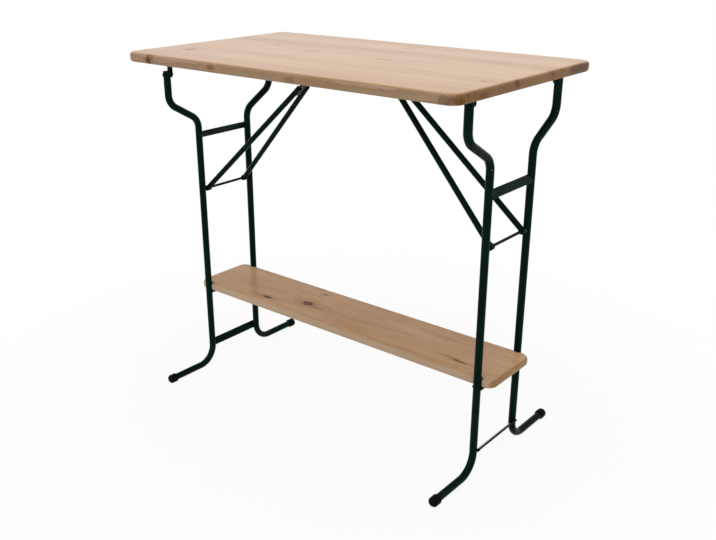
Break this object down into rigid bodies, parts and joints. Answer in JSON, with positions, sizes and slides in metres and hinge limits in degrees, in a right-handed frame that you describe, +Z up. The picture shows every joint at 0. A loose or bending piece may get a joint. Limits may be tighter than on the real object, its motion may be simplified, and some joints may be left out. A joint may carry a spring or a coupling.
{
  "type": "folding bar table",
  "caption": "Tall folding table with a rounded wooden top and lower shelf on bent steel tube legs with V braces.",
  "frame": {"origin": "middle of the footprint, on the floor", "axes": "+X along the table to its right end, +Y across it to the back, +Z up"},
  "size_m": [1.124, 0.65, 1.065],
  "materials": {
    "varnished_pine": "clear satin varnish",
    "green_paint": "gloss paint",
    "zinc_steel": "zinc plated",
    "black_rubber": "matt"
  },
  "bodies": {
    "table_frame": {"tabletop": "varnished_pine", "left_hinge_strap": "green_paint", "left_pivot_bolts": "green_paint", "left_front_leg_tube": "green_paint", "left_back_leg_tube": "green_paint", "left_front_shelf_rest": "green_paint", "left_back_shelf_rest": "green_paint", "left_upper_bar": "green_paint", "left_lower_bar": "green_paint", "left_brace_rod": "green_paint", "left_catch_bracket": "green_paint", "left_strap_screws": "zinc_steel", "left_catch_spring": "zinc_steel", "left_catch_screws": "zinc_steel", "left_front_foot_cap": "black_rubber", "left_back_foot_cap": "black_rubber", "right_hinge_strap": "green_paint", "right_pivot_bolts": "green_paint", "right_front_leg_tube": "green_paint", "right_back_leg_tube": "green_paint", "right_front_shelf_rest": "green_paint", "right_back_shelf_rest": "green_paint", "right_upper_bar": "green_paint", "right_lower_bar": "green_paint", "right_brace_rod": "green_paint", "right_catch_bracket": "green_paint", "right_strap_screws": "zinc_steel", "right_catch_spring": "zinc_steel", "right_catch_screws": "zinc_steel", "right_front_foot_cap": "black_rubber", "right_back_foot_cap": "black_rubber"},
    "left_brace": {"left_front_brace_arm": "green_paint", "left_back_brace_arm": "green_paint", "left_brace_gusset": "green_paint", "left_brace_pin": "zinc_steel"},
    "right_brace": {"right_front_brace_arm": "green_paint", "right_back_brace_arm": "green_paint", "right_brace_gusset": "green_paint", "right_brace_pin": "zinc_steel"},
    "shelf_board": {"shelf": "varnished_pine"}
  },
  "joints": [
    {"name": "left_brace_drop", "type": "hinge", "parent": "table_frame", "child": "left_brace", "pos_m": [-0.518, 0, 0.618], "axis": [0, 1, 0], "range_deg": [0, 70], "deforming": ["left_catch_spring"]},
    {"name": "right_brace_drop", "type": "hinge", "parent": "table_frame", "child": "right_brace", "pos_m": [0.518, 0, 0.653], "axis": [0, -1, 0], "range_deg": [0, 70], "deforming": ["right_catch_spring"]},
    {"name": "shelf_lift", "type": "slide", "parent": "table_frame", "child": "shelf_board", "axis": [0, 0, 1], "range_m": [0, 0.06]}
  ]
}
